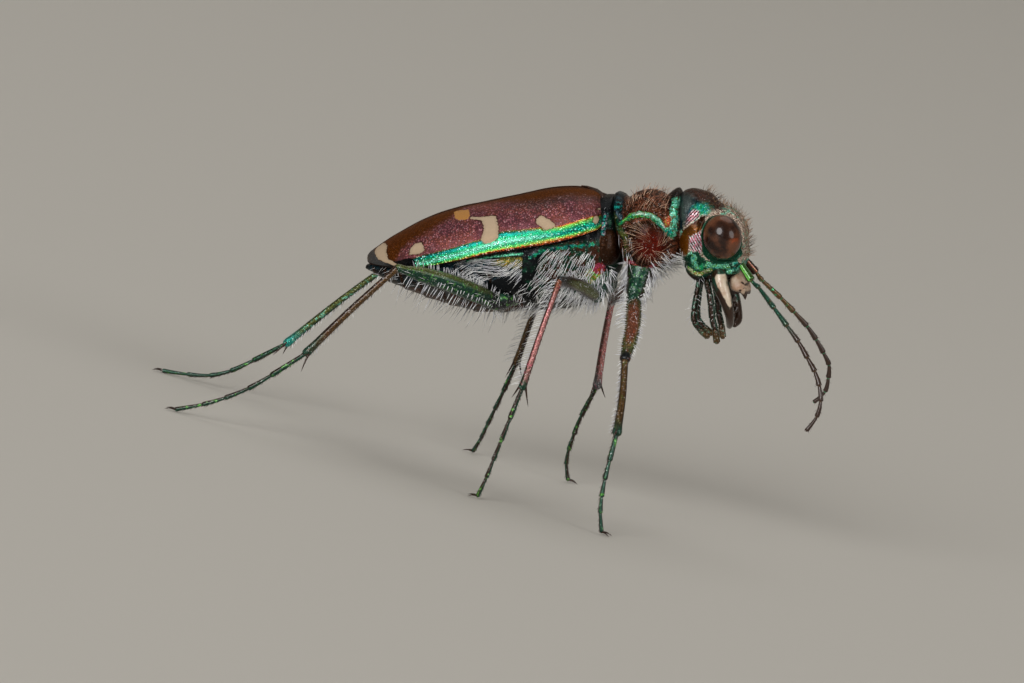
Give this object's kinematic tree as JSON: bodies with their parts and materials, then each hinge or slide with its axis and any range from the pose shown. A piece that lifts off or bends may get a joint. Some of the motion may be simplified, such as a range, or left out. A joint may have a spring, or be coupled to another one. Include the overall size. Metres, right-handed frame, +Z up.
{
  "type": "tiger beetle model",
  "caption": "Life-size still model of a tiger beetle standing high on long legs, with large eyes, sickle jaws, bowed antennae and banded, spotted wing cases.",
  "frame": {"origin": "on the floor under the middle of the model's outer box, antennae and hind feet included", "axes": "+X the way the beetle faces, +Y its left side, +Z up from the floor that it stands on"},
  "size_m": [0.0236, 0.011, 0.0117],
  "materials": {
    "wing_case": "maroon metallic wing case with a green side band and cream spots",
    "copper_plate": "coppery red metallic shell with pale hairs",
    "green_plate": "dark green metallic shell",
    "dark_plate": "blue-black metallic shell with white hairs",
    "eye": "glossy dark brown",
    "ivory": "pale cream, dark brown at the teeth",
    "horn": "dark brown and green metallic",
    "leg": "green and copper metallic leg"
  },
  "bodies": {
    "root": {"abdomen": "dark_plate", "antenna_left": "green_plate", "antenna_right": "green_plate", "elytron_left": "wing_case", "elytron_right": "wing_case", "eye_left": "eye", "eye_right": "eye", "front_left_coxa": "leg", "front_left_femur": "leg", "front_left_tarsus": "leg", "front_left_tibia": "leg", "front_right_coxa": "leg", "front_right_femur": "leg", "front_right_tarsus": "leg", "front_right_tibia": "leg", "head": "green_plate", "hind_left_coxa": "leg", "hind_left_femur": "leg", "hind_left_tarsus": "leg", "hind_left_tibia": "leg", "hind_right_coxa": "leg", "hind_right_femur": "leg", "hind_right_tarsus": "leg", "hind_right_tibia": "leg", "labial_palp_left": "horn", "labial_palp_right": "horn", "labrum": "ivory", "mandible_left": "ivory", "mandible_right": "ivory", "maxillary_palp_left": "horn", "maxillary_palp_right": "horn", "mesothorax": "dark_plate", "metathorax": "dark_plate", "middle_left_coxa": "leg", "middle_left_femur": "leg", "middle_left_tarsus": "leg", "middle_left_tibia": "leg", "middle_right_coxa": "leg", "middle_right_femur": "leg", "middle_right_tarsus": "leg", "middle_right_tibia": "leg", "prothorax": "copper_plate"}
  },
  "joints": []
}
